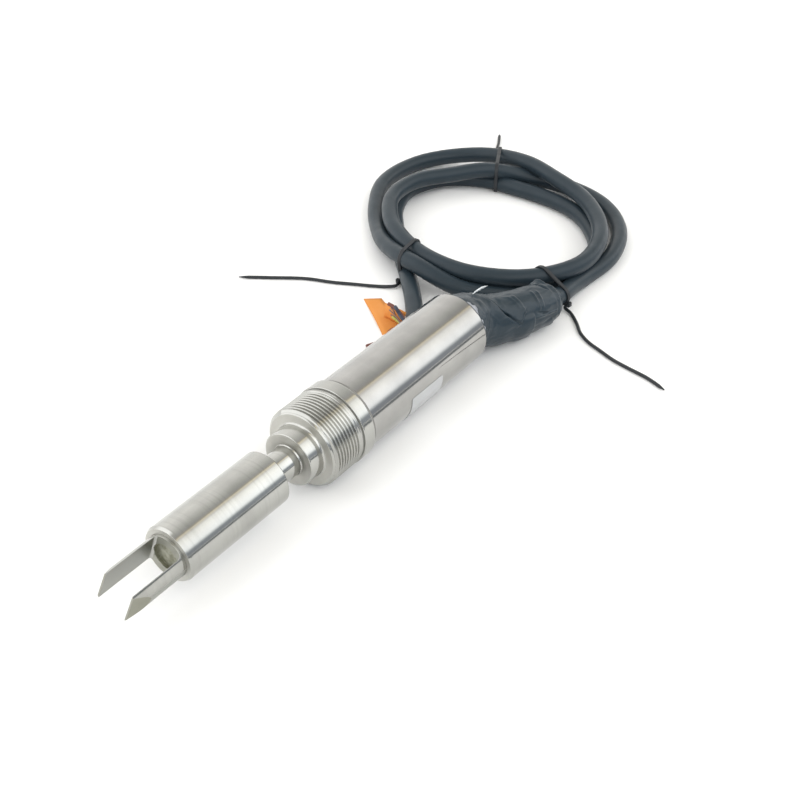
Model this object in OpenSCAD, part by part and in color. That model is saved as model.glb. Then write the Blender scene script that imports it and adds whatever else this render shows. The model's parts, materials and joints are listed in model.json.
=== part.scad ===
// Insertion density meter with a tuning fork, lying on a surface with its cable coiled beside it.
// Millimetres. +X points along the instrument towards the fork tips, +Z is up.
// The origin is on the surface, under the middle of the rigid instrument.
// Axial stations are counted from the rear end of the process thread, positive towards the tips.

/* [Tuning fork] */
// Diameter over the two tines
fork_d = 24.6; // [20:0.1:26]
// Gap between the flat inner faces of the tines
tine_gap = 17; // [12:0.1:19]
// Length of a tine at its middle, from the floor of the slot to the tip
tine_len = 33.4; // [25:0.1:60]
// Turn of the fork about the instrument's axis, in degrees
fork_roll = -19; // [-90:1:90]
// Slant of the tine ends, in degrees
tip_rake = 8; // [0:1:20]
// Angle of the chisel bevel on the outside of each tine, in degrees
tip_bevel = 15; // [10:1:30]
// Flat left at the very end of each tine
tip_land = 0.9; // [0.3:0.1:2]
// Radius where each tine runs into the floor of the slot
root_fillet = 1.6; // [0.5:0.1:3]
// How far the floor of the slot stands out of the fork body
root_stand = 1.5; // [0.5:0.1:5]
// Diameter of the round pocket in the floor of the slot
pocket_d = 15.6; // [8:0.1:16.5]
// Depth of that pocket
pocket_depth = 2; // [0.5:0.1:3]
// Diameter of the flange that seats the fork inside its body
fork_flange_d = 27; // [26.2:0.1:28]
// Thickness of that flange
fork_flange_t = 6; // [4:0.5:10]

/* [Fork body] */
// Outer diameter of the fork body
body_d = 31.8; // [28:0.1:36]
// Thickness of the body's wall behind the fork's seat
body_wall = 2.1; // [1.5:0.05:3]
// Length of the fork body
body_len = 72.8; // [60:0.1:120]
// Thickness of the front wall that the fork passes through
body_front_wall = 5.5; // [3:0.1:10]
// Thickness of the rear wall
body_rear_wall = 6; // [4:0.1:12]
// Radial width of the front chamfer
body_front_chamfer = 0.9; // [0.2:0.1:1.5]
// Length of the front chamfer along the axis
body_chamfer_len = 1.6; // [0.2:0.1:3]
// Rear edge chamfer
body_rear_chamfer = 0.7; // [0.2:0.1:2]

/* [Neck] */
// Diameter of the neck tube
neck_d = 18; // [14:0.1:24]
// Free length of the neck between the fork body and the boss
neck_len = 17.6; // [8:0.1:60]
// Bore of the neck for the wires
neck_bore = 7; // [6.2:0.1:9]
// Diameter of the spigots at both ends of the neck
neck_spigot_d = 13; // [11:0.1:13.6]
// Radius of the fillet where the neck meets the boss
neck_fillet = 0.8; // [0.5:0.1:3]

/* [Process fitting] */
// Diameter of the boss in front of the thread
boss_d = 32; // [28:0.1:38]
// Length of the boss
boss_len = 10.6; // [5:0.1:20]
// Fillet between the boss and the thread's front face
boss_fillet = 1.4; // [0.5:0.1:2]
// Major diameter of the process thread
thread_d = 47.8; // [45:0.1:60]
// Length of the process thread
thread_len = 24.4; // [15:0.1:40]
// Radial size of the thread's front chamfer
thread_chamfer = 2.1; // [1:0.1:3]
// Width of the relief groove behind the thread
relief_w = 0.9; // [0.5:0.1:3]
// Depth of the relief groove below the thread's major diameter, on the radius
relief_depth = 1.7; // [0.5:0.1:3]
// How far the collar stands above the housing tube, on the radius
collar_stand = 1.65; // [0.8:0.05:6]
// Length of the collar
collar_len = 8.6; // [4:0.1:20]
// Depth of the spigot inside the housing tube
fitting_spigot = 6; // [3:0.5:12]
// Bore behind the neck's spigot
fitting_bore = 9; // [8:0.1:12]
// Axial width of the weld bead between collar and tube
weld_w = 2; // [1:0.1:4]

/* [Housing] */
// Outer diameter of the housing tube
tube_d = 45.5; // [40:0.1:60]
// Wall thickness of the housing tube
tube_wall = 2; // [1.5:0.1:3]
// Length of the housing tube
tube_len = 113.2; // [100:0.1:240]
// Thickness of the rear cap
cap_t = 8; // [5:0.5:12]
// Thickness of the round board carriers
carrier_t = 4; // [3:0.5:8]
// Distance from the fitting's spigot to the front carrier
carrier_gap = 3; // [1:0.5:20]
// Width of the circuit board
board_w = 34; // [20:0.5:36]
// Thickness of the circuit board
board_t = 1.6; // [1:0.1:2.4]
// How far the board sits in each carrier
board_grip = 2; // [1:0.5:3]
// Distance from the rear carrier to the rear cap
carrier_rear_gap = 6; // [4.5:0.5:20]

/* [Label] */
// Length of the bare label along the tube
label_len = 30; // [15:0.5:60]
// Height of the bare label around the tube
label_h = 20; // [10:0.5:30]
// Thickness of the label
label_t = 0.3; // [0.2:0.05:0.6]
// Corner radius of the label
label_r = 1; // [0.5:0.1:4]
// Distance from the collar to the label
label_from_collar = 36.5; // [5:0.5:60]
// Direction that the middle of the label faces, in degrees above the horizontal
label_angle = -21.5; // [-90:0.5:90]

/* [Cable gland] */
// Thread diameter of the gland
gland_thread_d = 20; // [16:0.5:24]
// Width across the flats of the gland's hexagons
gland_af = 24; // [24:0.5:30]
// Height of the gland's fixed hexagon
gland_hex_h = 8; // [5:0.5:12]
// Length of the gland's dome nut
gland_nut_h = 16; // [12:0.5:24]
// Length of the hexagon on the dome nut
gland_nut_hex_h = 7; // [4:0.5:10]
// Diameter of the dome nut's mouth face
gland_mouth_d = 17; // [15:0.5:20]
// Height of the lock nut inside the cap
lock_nut_h = 4; // [3:0.5:6]

/* [Cable] */
// Diameter of the cable sheath
cable_d = 11.6; // [8:0.1:12.6]
// Radius of the coil, from its centre to the middle of its turns
coil_r = 84; // [60:1:160]
// Width of the coil's bundle of turns
coil_w = 36; // [24:1:60]
// Width of a cable tie
tie_w = 2.6; // [2:0.1:6]
// Thickness of a cable tie
tie_t = 1.2; // [0.8:0.1:2]
// Diameter of a cable core with its insulation
core_d = 2.4; // [1.5:0.1:3]
// Thickness of the paper flag
flag_t = 0.4; // [0.2:0.1:1]

/* [Fork drive] */
// Outer diameter of the piezo rings
piezo_d = 18; // [12:0.5:19]
// Thickness of a piezo ring
piezo_t = 3; // [1:0.5:5]
// Diameter of the preload bolt
bolt_d = 6; // [4:0.5:8]
// Thickness of an insulating washer
washer_t = 1.5; // [0.5:0.1:3]
// Length of the back mass
back_mass_len = 10; // [6:0.5:16]
// Depth of the bolt's thread in the fork
bolt_hold = 5; // [3:0.5:5]
// Diameter of the temperature sensor
rtd_d = 3; // [2:0.1:3]
// Length of the temperature sensor
rtd_len = 22; // [15:0.5:40]

/* [Hidden] */
$fn = 96;

// Clearance on the radius between pieces that slide into each other
slip = 0.05;
// Length that a cutter runs past the face it cuts
past = 1;
// Small chamfers on the turned fitting and on the tube
turned_edge = 0.6;
tube_edge = 0.5;
// Slope of the thread's front chamfer: its length along the axis for each millimetre of radius
chamfer_slope = 0.8;

// Axial stations, from the rear end of the thread
fitting_front = thread_len + boss_len;
body_rear = fitting_front + neck_len;
body_front = body_rear + body_len;
slot_floor = body_front + root_stand;
tine_half = fork_d / 2;
tine_edge = sqrt(tine_half * tine_half - tine_gap * tine_gap / 4);
tip_mid = slot_floor + tine_len;
tip_front = tip_mid + tine_edge * tan(tip_rake);
flange_front = body_front - body_front_wall;
flange_rear = flange_front - fork_flange_t;
collar_front = -relief_w;
collar_rear = collar_front - collar_len;
spigot_rear = collar_rear - fitting_spigot;
tube_rear = collar_rear - tube_len;
cap_front = tube_rear + cap_t;
tube_bore = tube_d - 2 * tube_wall;
collar_d = tube_d + 2 * collar_stand;
carrier_front = spigot_rear - carrier_gap;
carrier_rear = cap_front + carrier_rear_gap;
board_front = carrier_front - carrier_t + board_grip;
board_rear = carrier_rear + carrier_t - board_grip;
board_len = board_front - board_rear;
gland_hex_rear = tube_rear - gland_hex_h;
gland_mouth = gland_hex_rear - gland_nut_h;
nut_mouth_wall = 4;
nut_grip = 2;
throat_wall = 1.6;
gland_throat = gland_mouth + nut_mouth_wall + nut_grip;
throat = gland_thread_d / 2 - throat_wall;
axis_z = max(collar_d, thread_d) / 2;
middle = (tip_front + gland_mouth) / 2;
cable_r = cable_d / 2;
cable_bore = cable_d + 4 * slip;

// Dome of the gland's nut: how far it leans in, its length, and its step down from the hexagon
dome_lean = 1;
dome_len = 3;
dome_step = 0.5;
dome_neck = 2;
dome_r = gland_af / 2 - dome_step;
nut_hex_rear = gland_hex_rear - gland_nut_hex_h;
// Groove for the rear cap's sealing ring, and the ring's own radius
groove_depth = 2;
groove_w = 2.8;
ring_r = groove_depth / 2;

// Bore of the fork's body and the seat for the fork's flange
body_bore = body_d - 2 * body_wall;
seat_bore = fork_flange_d + 2 * slip;
// The temperature sensor stands midway between the stack of rings and the narrower of the two
rtd_offset = (piezo_d + min(body_bore, seat_bore)) / 4;

// Stack on the preload bolt, counted back from the fork's flange
stack_front = flange_rear;
pickup_front = stack_front - washer_t;
drive_front = pickup_front - 2 * piezo_t - washer_t;
mass_front = drive_front - 2 * piezo_t - washer_t;
mass_rear = mass_front - back_mass_len;
bolt_head_h = bolt_d;
stack_rear = mass_rear - bolt_head_h;
sleeve_room = 1.2;
ring_bore = bolt_d + 2 * sleeve_room;
// Every second ring is a little smaller, so that its lead has room
ring_step = 0.6;
// Bundle of signal wires, and the hole that lets the supply cores through the rear carrier
bundle_d = 5;
carrier_hole = 22;
// Gap between the supply cores in the gland, and the sheath's length inside the rear cap
core_gap = 0.4;
strip_gap = 2;

// Terminal block, with the pitch of its terminals
terminal_pitch = 5;
terminals = 4;
block_w = terminals * terminal_pitch;
block_len = 10;
block_h = 11;
screw_d = 4;
screw_depth = 4;
core_lift = 3.5;
core_depth = 5;
// Plug at the board's front, and its distance from the front carrier
plug_len = 8;
plug_w = 14;
plug_h = 6;
plug_gap = 3;
// Parts on the board: flat chips and round capacitors above it, and coils below it
chip = 10;
chip_t = 1.6;
chip_pitch = 16;
capacitor_d = 6;
capacitor_h = 7;
capacitor_pitch = 12;
coil_len = 14;
coil_width = 9;
coil_depth = 5;
coil_pitch = 22;
// Free board between the terminal block and the first part
wiring_room = 14;

// Coil of cable on the surface, and the routes of the cable's loose ends, in the part's frame
coil_centre = [-281, -72];
coil_h = 2 * cable_d;
tie_gap = 0.1;
tie_head = 4;
tie_head_lift = 0.5;
tie_head_z = tie_head / 2 + tie_head_lift;
lead_route = [[-163, 3.5, 22.2], [-172, 9, 19], [-183, 15, 16.5], [-197, 19, 14.3], [-205, 20.5, 13],
    [-213, 21.3, 11.4], [-225, 24, 10], [-238, 28, 9], [-249, 22, 7.5], [-256, 10, 6.5]];
end_route = [[-213, -104, 5.8], [-199, -88, 5.8], [-186, -75, 5.8], [-173, -63, 5.8],
    [-160, -52, 5.8], [-148, -43, 5.8]];
core_routes = [
    [[-144, -38, 9.5], [-140, -41, 11.5], [-139, -48, 13], [-141, -58, 14]],
    [[-142, -42, 7], [-138, -45, 8], [-137, -50, 9], [-138, -54, 10]],
    [[-143, -39, 6], [-137, -41, 6.8], [-136, -47, 6], [-139, -56, 3.4]],
    [[-141, -42, 3.6], [-134, -44, 3], [-124, -48, 2.6], [-110, -52, 2]]];
core_seats = [[1.5, 1.5], [-1.5, 1.5], [1.5, -1.5], [-1.5, -1.5]];
flag_strip = [[-153, -87], [-160, -77], [-136, -41], [-125, -51]];
flag_leaf = [[0, 0], [17, 0], [17, 12], [0, 12]];
flag_leaf_at = [-144.5, -61, 0];
flag_leaf_turn = 84;
// Middle of the wound tape behind the tube, and its radius from the tube to its end
tape_points = [[-140, 0.6, 23.2], [-148, 2.6, 21], [-157, 6.5, 18.2], [-169, 12, 16.8], [-183, 17, 15.8],
    [-197, 20, 14.3], [-205, 20.5, 13]];
tape_square = 3;
tape_radii = [20.3, 19.9, 18.8, 17.9, 17.2, 16.4, 15.6, 14, 12.4];
band_radii = [11.2, 10.4, 8.2];
tie_tails = [
    [[-176, -96, 1.5], [-172, -98, 1.1], [-164, -105, 1.1], [-158, -118, 1.1],
        [-152, -134, 1.1], [-138, -156, 1.1], [-126, -174, 1.1]],
    [[-232, 30, 1.1], [-224, 37, 1.1], [-212, 43, 1.1], [-204, 49, 1.1], [-199, 57, 1.1],
        [-194, 66, 1.1], [-189, 78, 1.1], [-185, 92, 1.1], [-182, 106, 1.1], [-177, 120, 1.1]],
    [[-380, -128, 1.5], [-386, -132, 1.1], [-396, -138, 1.1], [-408, -144, 1.1], [-422, -152, 1.1]]];
tie_tail_r = 1.1;
tie_angles = [-13, 62, 208];

steel = [0.74, 0.74, 0.72];
dark_steel = [0.55, 0.56, 0.56];
black = [0.1, 0.11, 0.12];
orange = [0.96, 0.55, 0.16];

// Turns a piece that is drawn along Z, so that it runs along X from a station
module along_x(station = 0) {
    translate([station, 0, 0]) rotate([0, 90, 0]) children();
}

// Puts a piece that is drawn along Z, with station 0 at its foot, on the instrument's axis
module on_axis(station = 0) {
    translate([-middle, 0, axis_z]) along_x(station) children();
}

// A piece turned about the axis from a profile of [radius, station] points
module turned(profile) {
    on_axis() rotate_extrude() polygon(profile);
}

// A ring or disc about the axis between two stations
module ring(d, bore, rear, front) {
    turned([[bore / 2, rear], [d / 2, rear], [d / 2, front], [bore / 2, front]]);
}

// Quarter arc points of a concave fillet, from the wall to the face in front of it
function fillet_points(radius, station, r, steps = 6) =
    [for (i = [0 : steps]) [radius + r - r * sin(90 * i / steps), station + r - r * cos(90 * i / steps)]];

// Unit vector, and the direction of a route at one of its points
function unit(v) = v / norm(v);
function heading(route, i) =
    unit(route[min(i + 1, len(route) - 1)] - route[max(i - 1, 0)]);

// Tube swept along a route, with one radius for each point
module swept(route, radii, sides = 10) {
    rings = [for (i = [0 : len(route) - 1])
        let (t = heading(route, i), across = unit(cross([0, 0, 1], t)), up = cross(t, across))
        for (k = [0 : sides - 1])
            let (angle = 360 * (k + 0.5) / sides)
            route[i] + radii[i] * (cos(angle) * across + sin(angle) * up)];
    last = (len(route) - 1) * sides;
    sides_faces = [for (i = [0 : len(route) - 2], k = [0 : sides - 1])
        let (a = i * sides + k, b = i * sides + (k + 1) % sides)
        [a, a + sides, b + sides, b]];
    front = [for (k = [0 : sides - 1]) k];
    back = [for (k = [sides - 1 : -1 : 0]) last + k];
    polyhedron(concat([for (p = rings) p]), concat([front], sides_faces, [back]), convexity = 10);
}

// The two tines between the slot floor and their ends, drawn along X with the gap across Y
module tine_pair() {
    for (side = [-1, 1]) difference() {
        intersection() {
            along_x(slot_floor - past) cylinder(d = fork_d, h = tine_len + fork_d);
            translate([slot_floor - past, side > 0 ? tine_gap / 2 : -fork_d - tine_gap / 2, -fork_d])
                cube([tine_len + fork_d, fork_d, 2 * fork_d]);
        }
        tip_cuts(side);
    }
}

// Slanted end face and outer bevel of one tine
module tip_cuts(side) {
    translate([tip_mid, 0, 0]) rotate([0, -tip_rake, 0]) {
        translate([0, -fork_d, -fork_d]) cube([fork_d, 2 * fork_d, 2 * fork_d]);
        scale_side(side) translate([0, tine_gap / 2 + tip_land, -fork_d]) rotate([0, 0, -tip_bevel])
            translate([-2 * fork_d, 0, 0]) cube([3 * fork_d, fork_d, 2 * fork_d]);
    }
}

// Mirrors a cutter to the other tine
module scale_side(side) {
    if (side > 0) children();
    else mirror([0, 1, 0]) children();
}

// Fillet along the root of one tine
module root_fillet_bar(side) {
    scale_side(side) translate([slot_floor, tine_gap / 2, 0]) intersection() {
        difference() {
            translate([-past, -root_fillet, -fork_d / 2])
                cube([root_fillet + past, root_fillet + past, fork_d]);
            translate([root_fillet, -root_fillet, -fork_d])
                cylinder(r = root_fillet, h = 2 * fork_d, $fn = 48);
        }
        translate([0, -tine_gap / 2, 0]) along_x(-2 * past)
            cylinder(d = fork_d, h = root_fillet + 3 * past);
    }
}

module tuning_fork() {
    color(steel) translate([-middle, 0, axis_z]) rotate([fork_roll, 0, 0]) {
        difference() {
            union() {
                along_x(flange_rear) cylinder(d = fork_d, h = slot_floor - flange_rear);
                along_x(flange_rear) cylinder(d = fork_flange_d, h = fork_flange_t);
                tine_pair();
                for (side = [-1, 1]) root_fillet_bar(side);
            }
            along_x(slot_floor - pocket_depth) cylinder(d = pocket_d, h = pocket_depth + past);
            along_x(flange_rear - past) cylinder(d = bolt_d, h = bolt_hold + past);
            along_x(flange_rear - past) translate([rtd_offset, 0, 0])
                cylinder(d = rtd_d + 2 * slip, h = fork_flange_t / 2 + past);
        }
    }
}

module fork_body() {
    opening = fork_d / 2 + slip;
    seat = seat_bore / 2;
    bore = body_bore / 2;
    color(steel) turned([
        [neck_spigot_d / 2 + slip, body_rear], [body_d / 2 - body_rear_chamfer, body_rear],
        [body_d / 2, body_rear + body_rear_chamfer], [body_d / 2, body_front - body_chamfer_len],
        [body_d / 2 - body_front_chamfer, body_front], [opening, body_front],
        [opening, flange_front], [seat, flange_front], [seat, flange_rear],
        [bore, flange_rear], [bore, body_rear + body_rear_wall],
        [neck_spigot_d / 2 + slip, body_rear + body_rear_wall]]);
}

module neck_tube() {
    r = neck_d / 2;
    spigot = neck_spigot_d / 2;
    color(steel) turned(concat(
        [[neck_bore / 2, fitting_front - boss_len], [spigot, fitting_front - boss_len],
         [spigot, fitting_front]],
        [for (p = fillet_points(r, fitting_front, neck_fillet)) p],
        [[r, body_rear], [spigot, body_rear], [spigot, body_rear + body_rear_wall],
         [neck_bore / 2, body_rear + body_rear_wall]]));
}

module process_fitting() {
    thread_r = thread_d / 2;
    boss_r = boss_d / 2;
    socket = neck_spigot_d / 2 + slip;
    edge = turned_edge;
    color(steel) turned(concat(
        [[fitting_bore / 2, spigot_rear], [tube_bore / 2 - slip, spigot_rear],
         [tube_bore / 2 - slip, collar_rear], [collar_d / 2 - edge, collar_rear],
         [collar_d / 2, collar_rear + edge], [collar_d / 2, collar_front],
         [thread_r - relief_depth, collar_front], [thread_r - relief_depth, 0],
         [thread_r, 0], [thread_r, thread_len - thread_chamfer * chamfer_slope],
         [thread_r - thread_chamfer, thread_len]],
        [for (p = fillet_points(boss_r, thread_len, boss_fillet)) p],
        [[boss_r, fitting_front - edge], [boss_r - edge, fitting_front], [socket, fitting_front],
         [socket, fitting_front - boss_len], [fitting_bore / 2, fitting_front - boss_len]]));
}

// Fillet weld in the corner between the collar and the tube, with a low toe on the tube
module weld_bead() {
    tube_r = tube_d / 2 + slip;
    bead_r = collar_d / 2 - turned_edge;
    toe = 0.3;
    crown = 0.4;
    color(dark_steel) turned([[tube_r, collar_rear - weld_w], [tube_r + toe, collar_rear - weld_w],
        [bead_r - toe, collar_rear - crown], [bead_r, collar_rear], [tube_r, collar_rear]]);
}

module housing_tube() {
    color(steel) turned([[tube_bore / 2, tube_rear], [tube_d / 2 - tube_edge, tube_rear],
        [tube_d / 2, tube_rear + tube_edge], [tube_d / 2, collar_rear], [tube_bore / 2, collar_rear]]);
}

module rear_cap() {
    cap_r = tube_bore / 2 - slip;
    hole = gland_thread_d / 2 + slip;
    groove_rear = cap_front - cap_t / 2 - groove_w / 2;
    groove_front = groove_rear + groove_w;
    color(steel) turned([[hole, tube_rear], [cap_r, tube_rear], [cap_r, groove_rear],
        [cap_r - groove_depth, groove_rear], [cap_r - groove_depth, groove_front],
        [cap_r, groove_front], [cap_r, cap_front], [hole, cap_front]]);
}

module cap_o_ring() {
    color(black) on_axis(cap_front - cap_t / 2) rotate_extrude()
        translate([tube_bore / 2 - slip - groove_depth + ring_r, 0]) circle(r = ring_r, $fn = 32);
}

module blank_label() {
    r = tube_d / 2;
    half_turn = label_h / 2;
    rear = collar_rear - label_from_collar - label_len;
    color("white") difference() {
        intersection() {
            translate([rear + label_len / 2 - middle, 0, axis_z])
                rotate([label_angle, 0, 0]) rotate([-90, 0, 0]) linear_extrude(2 * r)
                rounded_rectangle(label_len, 2 * r * sin(half_turn / r * 180 / PI), label_r);
            on_axis(rear - past) cylinder(r = r + label_t, h = label_len + 2 * past);
        }
        on_axis(rear - 2 * past) cylinder(r = r, h = label_len + 4 * past);
    }
}

// Rectangle with round corners, centred
module rounded_rectangle(w, h, r) {
    square([w - 2 * r, h], center = true);
    square([w, h - 2 * r], center = true);
    for (x = [-1, 1], y = [-1, 1]) translate([x * (w / 2 - r), y * (h / 2 - r)]) circle(r = r, $fn = 48);
}

module gland_body() {
    inner = tube_rear + lock_nut_h + cap_t;
    color(black) {
        difference() {
            union() {
                on_axis(gland_hex_rear) cylinder(d = gland_af / cos(30), h = gland_hex_h, $fn = 6);
                on_axis(gland_throat) cylinder(d = gland_thread_d, h = inner - gland_throat);
            }
            on_axis(gland_throat - past) cylinder(d = cable_bore, h = inner - gland_throat + 2 * past);
            on_axis(gland_throat - past) cylinder(r = throat, h = gland_hex_rear - gland_throat + past);
        }
    }
}

module gland_seal() {
    color(black) ring(2 * throat - 2 * slip, cable_bore, gland_mouth + nut_mouth_wall, gland_hex_rear);
}

module gland_nut() {
    mouth_r = gland_mouth_d / 2;
    mouth_room = 0.6;
    color(black) difference() {
        union() {
            on_axis(nut_hex_rear) cylinder(d = gland_af / cos(30), h = gland_nut_hex_h, $fn = 6);
            turned([[0, gland_mouth], [mouth_r, gland_mouth],
                [dome_r - dome_lean, gland_mouth + dome_len], [dome_r, nut_hex_rear - dome_neck],
                [dome_r, nut_hex_rear + past], [0, nut_hex_rear + past]]);
        }
        on_axis(gland_mouth + nut_mouth_wall) cylinder(d = gland_thread_d + 2 * slip, h = gland_nut_h);
        on_axis(gland_mouth - past) cylinder(d = cable_bore + mouth_room, h = gland_nut_h);
    }
}

module gland_lock_nut() {
    color(steel) difference() {
        on_axis(cap_front) cylinder(d = gland_af / cos(30), h = lock_nut_h, $fn = 6);
        on_axis(cap_front - past) cylinder(d = gland_thread_d + 2 * slip, h = lock_nut_h + 2 * past);
    }
}

// Two rings of the stack, with their outer diameter drawn from the stations given
module ring_pair(front, d, t) {
    for (i = [0, 1]) ring(d - i * ring_step, ring_bore, front - (i + 1) * t, front - i * t);
}

module piezo_pickup() {
    color("ivory") ring_pair(pickup_front, piezo_d, piezo_t);
}

module piezo_drive() {
    color("ivory") ring_pair(drive_front, piezo_d, piezo_t);
}

module stack_washers() {
    color("peru") for (front = [stack_front, pickup_front - 2 * piezo_t, drive_front - 2 * piezo_t])
        ring(piezo_d, ring_bore, front - washer_t, front);
}

module back_mass() {
    color(dark_steel) ring(piezo_d, bolt_d + 2 * slip, mass_rear, mass_front);
}

module preload_bolt() {
    head_d = 1.6 * bolt_d;
    socket_af = 0.8 * bolt_d;
    color(dark_steel) difference() {
        union() {
            on_axis(mass_rear) cylinder(d = bolt_d, h = stack_front + bolt_hold - mass_rear);
            on_axis(stack_rear) cylinder(d = head_d, h = bolt_head_h);
        }
        on_axis(stack_rear - past) cylinder(d = socket_af, h = bolt_head_h / 2 + past, $fn = 6);
    }
}

module temperature_sensor() {
    rtd_rear = flange_rear + fork_flange_t / 2 - rtd_len;
    color("silver") translate([-middle, 0, axis_z]) rotate([fork_roll, 0, 0]) along_x(rtd_rear)
        translate([rtd_offset, 0, 0]) cylinder(d = rtd_d, h = rtd_len);
}

// Bundle of wires from the stack to the board, held in the neck's bore
module signal_wires() {
    color("firebrick") on_axis(board_front) cylinder(d = bundle_d, h = stack_rear - board_front);
}

// Round carrier with a slot that grips one end of the board
module carrier(rear, slot_rear, wire_hole) {
    color("dimgray") difference() {
        ring(tube_bore - 2 * slip, wire_hole, rear, rear + carrier_t);
        translate([slot_rear - middle, -board_w / 2 - slip, axis_z - board_t / 2 - slip])
            cube([board_grip + past, board_w + 2 * slip, board_t + 2 * slip]);
    }
}

module front_carrier() {
    carrier(carrier_front - carrier_t, carrier_front - carrier_t - past, bundle_d + 4 * slip);
}

module rear_carrier() {
    carrier(carrier_rear, carrier_rear + carrier_t - board_grip, carrier_hole);
}

module circuit_board() {
    color("darkgreen") translate([board_rear - middle, -board_w / 2, axis_z - board_t / 2])
        cube([board_len, board_w, board_t]);
}

// Parts of the board: as many of each as fit between the terminal block's wiring and the plug
module board_parts() {
    top = axis_z + board_t / 2;
    start = board_rear + carrier_t + block_len + wiring_room;
    room = board_front - carrier_t - plug_gap - plug_len - start;
    chips = floor((room - chip) / chip_pitch);
    capacitors = floor((room - capacitor_d / 2) / capacitor_pitch);
    coils = floor((room - coil_len) / coil_pitch);
    color(black) translate([start - middle, 0, 0]) {
        for (i = [0 : chips])
            translate([i * chip_pitch, -board_w / 4 - chip / 2, top]) cube([chip, chip, chip_t]);
        for (i = [0 : capacitors])
            translate([i * capacitor_pitch, board_w / 4 + past, top])
                cylinder(d = capacitor_d, h = capacitor_h);
        for (i = [0 : coils])
            translate([i * coil_pitch, -coil_width / 2, top - board_t - coil_depth])
                cube([coil_len, coil_width, coil_depth]);
    }
}

module board_plug() {
    rear = board_front - carrier_t - plug_gap - plug_len;
    color("ivory") translate([rear - middle, -plug_w / 2, axis_z + board_t / 2])
        cube([plug_len, plug_w, plug_h]);
}

module terminal_block() {
    rear = board_rear + carrier_t;
    color("seagreen") translate([rear - middle, -block_w / 2, axis_z + board_t / 2]) difference() {
        cube([block_len, block_w, block_h]);
        for (i = [0 : terminals - 1]) translate([0, (i + 0.5) * terminal_pitch, 0]) {
            translate([block_len / 2, 0, block_h - screw_depth])
                cylinder(d = screw_d, h = screw_depth + past);
            translate([-past, 0, core_lift]) rotate([0, 90, 0])
                cylinder(d = core_d + 2 * slip, h = core_depth + past);
        }
    }
}

// Cores between the stripped end of the cable and the terminal block
module supply_cores() {
    seated = board_rear + carrier_t + core_depth;
    color("tan") for (i = [0 : terminals - 1]) on_core_line(i, tube_rear + strip_gap, seated);
}

// One straight core at the height of its terminal, set over into the gland's throat
module on_core_line(i, rear, front) {
    across = i - (terminals - 1) / 2;
    target = [front - middle, across * terminal_pitch, axis_z + board_t / 2 + core_lift];
    bend = [carrier_rear - past - middle, target[1], target[2]];
    mouth = [cap_front - middle + lock_nut_h + core_d, across * (core_d + core_gap), axis_z];
    start = [rear - middle, mouth[1], axis_z];
    swept([start, mouth, bend, target], [for (k = [0 : 3]) core_d / 2], 8);
}

module tape_wrap() {
    route = tape_route();
    color(black) difference() {
        swept(route, tape_radii, 24);
        gland_room();
        swept(full_lead(), [for (p = full_lead()) cable_r + slip]);
    }
}

// Cutter with the outline of the gland's nut and hexagons
module gland_room() {
    hex_r = gland_af / 2 / cos(30) + slip;
    turned([[0, gland_mouth - slip], [gland_mouth_d / 2 + 2 * slip, gland_mouth - slip],
        [dome_r - dome_lean + 2 * slip, gland_mouth + dome_len],
        [dome_r + 2 * slip, nut_hex_rear - dome_neck], [dome_r + 2 * slip, nut_hex_rear - slip],
        [hex_r, nut_hex_rear - slip], [hex_r, tube_rear + past], [0, tube_rear + past]]);
}

// Route of the tape: square to the tube's end, then along the cable
function tape_route() = concat(
    [for (station = [tube_rear, tube_rear - tape_square]) [station - middle, 0, axis_z]], tape_points);

// Route of the cable, from inside the gland to the coil
function full_lead() = concat(
    [[tube_rear + strip_gap - middle, 0, axis_z], [gland_mouth - middle, 0, axis_z]], lead_route);

// Last turns of tape, wound over the end of the long wrap
module tape_end_band() {
    route = [for (i = [4 : 5]) lead_route[i]];
    color(black) difference() {
        swept([route[0], (route[0] + route[1]) / 2, route[1]], band_radii, 24);
        swept(tape_route(), tape_radii, 24);
        swept(full_lead(), [for (p = full_lead()) cable_r + slip]);
    }
}

module cable_lead() {
    route = full_lead();
    color(black) difference() {
        swept(route, [for (p = route) cable_r]);
        coil_outside();
    }
}

// Outer shape of the coil: a round bundle of turns, two high, with a slot under it for each tie
module coil_section() {
    translate([coil_r, coil_h / 2]) rounded_rectangle(coil_w, coil_h, cable_r);
}

module cable_coil() {
    color(black) translate([coil_centre[0], coil_centre[1], 0]) difference() {
        rotate_extrude() coil_section();
        for (angle = tie_angles) rotate([0, 0, angle]) tie_strap(slip);
    }
}

// Cutter that ends a loose end of cable on the outside of the coil
module coil_outside() {
    translate([coil_centre[0], coil_centre[1], -coil_h]) cylinder(r = coil_r + coil_w / 2, h = 3 * coil_h);
}

module cable_end() {
    color(black) difference() {
        swept(end_route, [for (p = end_route) cable_r]);
        coil_outside();
    }
}

// Stripped cores that fan out of the cable's free end
module cable_cores() {
    last = len(end_route) - 1;
    t = heading(end_route, last);
    across = cross([0, 0, 1], t);
    colours = ["saddlebrown", "royalblue", "yellowgreen", "brown"];
    for (i = [0 : len(core_routes) - 1])
        let (seat = end_route[last] + core_seats[i][0] * across + [0, 0, core_seats[i][1]],
            route = concat([seat, seat + t * core_d], core_routes[i]))
        color(colours[i]) swept(route, [for (p = route) core_d / 2], 8);
}

// Folded paper flag: a strip that lies on the surface and a leaf that stands up behind the cores
module cable_flag() {
    color(orange) {
        linear_extrude(flag_t) polygon(flag_strip);
        translate(flag_leaf_at) rotate([0, 0, flag_leaf_turn]) rotate([90, 0, 0])
            linear_extrude(flag_t) polygon(flag_leaf);
    }
}

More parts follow.
